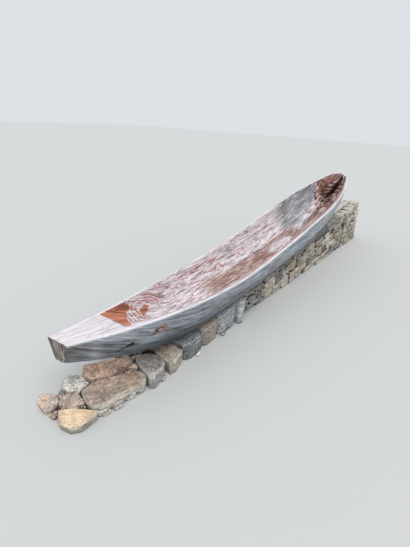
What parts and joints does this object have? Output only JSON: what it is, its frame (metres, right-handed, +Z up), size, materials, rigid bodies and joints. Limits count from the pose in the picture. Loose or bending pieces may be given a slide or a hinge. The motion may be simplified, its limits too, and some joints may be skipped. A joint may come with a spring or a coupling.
{
  "type": "dugout canoe on a dry-stone wall",
  "caption": "Weathered dugout canoe hewn from one log, hollowed between two solid ends, lying on a low dry-stone wall that grows taller as the ground falls away.",
  "frame": {"origin": "middle of the footprint on the ground, under the bounding box's centre", "axes": "+X along the wall and the canoe, from the wall's low end to its tall end; +Y to the wall's back face; +Z up"},
  "size_m": [4.9144, 0.5424, 0.9314],
  "materials": {
    "weathered_wood": "bare, silvered, cracked, with worn red paint inside",
    "stone_cream": "rough split face",
    "stone_tan": "rough split face",
    "stone_rose": "rough split face",
    "stone_grey": "rough split face",
    "stone_pale": "rough, with lichen",
    "stone_mixed": "rough split face, small stones of several kinds"
  },
  "bodies": {
    "root": {"back_course_1_run_1": "stone_mixed", "back_course_1_run_2": "stone_mixed", "back_course_1_run_3": "stone_mixed", "back_course_1_run_4": "stone_mixed", "back_course_2_run_1": "stone_mixed", "back_course_2_run_2": "stone_mixed", "back_course_2_run_3": "stone_mixed", "back_course_3_run_1": "stone_mixed", "back_course_3_run_2": "stone_mixed", "back_course_4_run_1": "stone_mixed", "boulder_cream": "stone_cream", "boulder_grey": "stone_grey", "boulder_olive": "stone_tan", "boulder_rounded": "stone_grey", "boulder_tan": "stone_tan", "cap_1": "stone_cream", "cap_10": "stone_grey", "cap_11": "stone_rose", "cap_2": "stone_grey", "cap_3": "stone_pale", "cap_4": "stone_grey", "cap_5": "stone_rose", "cap_6": "stone_grey", "cap_7": "stone_grey", "cap_8": "stone_tan", "cap_9": "stone_cream", "end_stone_1": "stone_rose", "end_stone_2": "stone_grey", "front_course_1_run_1": "stone_mixed", "front_course_1_run_2": "stone_mixed", "front_course_1_run_3": "stone_mixed", "front_course_2_run_1": "stone_mixed", "front_course_2_run_2": "stone_mixed", "front_course_2_run_3": "stone_mixed", "front_course_3_run_1": "stone_mixed", "front_course_3_run_2": "stone_mixed", "front_course_4_run_1": "stone_mixed", "hearting": "stone_mixed", "hull": "weathered_wood", "slab_bed": "stone_mixed", "slab_cream": "stone_cream", "slab_far_left": "stone_rose", "slab_lichen": "stone_pale", "slab_long_rose": "stone_rose", "slab_long_tan": "stone_tan", "slab_small_rose": "stone_rose", "slab_wedge": "stone_rose", "upright_pale": "stone_pale"}
  },
  "joints": []
}
